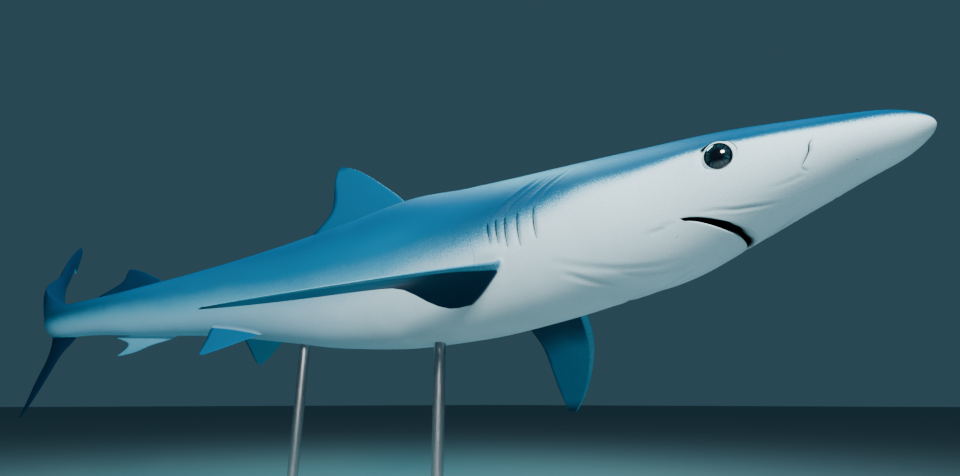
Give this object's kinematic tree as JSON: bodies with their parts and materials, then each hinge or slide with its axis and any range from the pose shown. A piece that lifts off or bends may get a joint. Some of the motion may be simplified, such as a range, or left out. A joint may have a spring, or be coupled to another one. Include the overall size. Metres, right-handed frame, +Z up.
{
  "type": "blue shark",
  "caption": "Life-size slender blue shark in a banked swimming turn, long pectoral fins spread, mouth slightly open, held over a flat base by slim steel rods.",
  "frame": {"origin": "middle of the stand base's underside, on the floor", "axes": "+X forwards along the shark's front half, +Y to its left, +Z up"},
  "size_m": [2.2488, 0.9307, 0.9141],
  "materials": {
    "skin": "smooth wet skin, deep blue above and white below",
    "eye": "clear glossy, near black",
    "stand_base": "satin black lacquer",
    "stand_rod": "fine brushed",
    "tooth": "smooth",
    "mouth_lining": "wet"
  },
  "bodies": {
    "root": {"head": "skin", "lower_jaw": "skin", "gill_region": "skin", "trunk_front": "skin", "trunk_middle": "skin", "trunk_rear": "skin", "tail_stalk": "skin", "caudal_fin_upper": "skin", "caudal_fin_lower": "skin", "first_dorsal_fin": "skin", "second_dorsal_fin": "skin", "anal_fin": "skin", "pectoral_fin_right": "skin", "pectoral_fin_left": "skin", "pelvic_fin_right": "skin", "pelvic_fin_left": "skin", "eye_right": "eye", "eye_left": "eye", "stand_base": "stand_base", "stand_rod_front": "stand_rod", "stand_rod_rear": "stand_rod"}
  },
  "joints": []
}
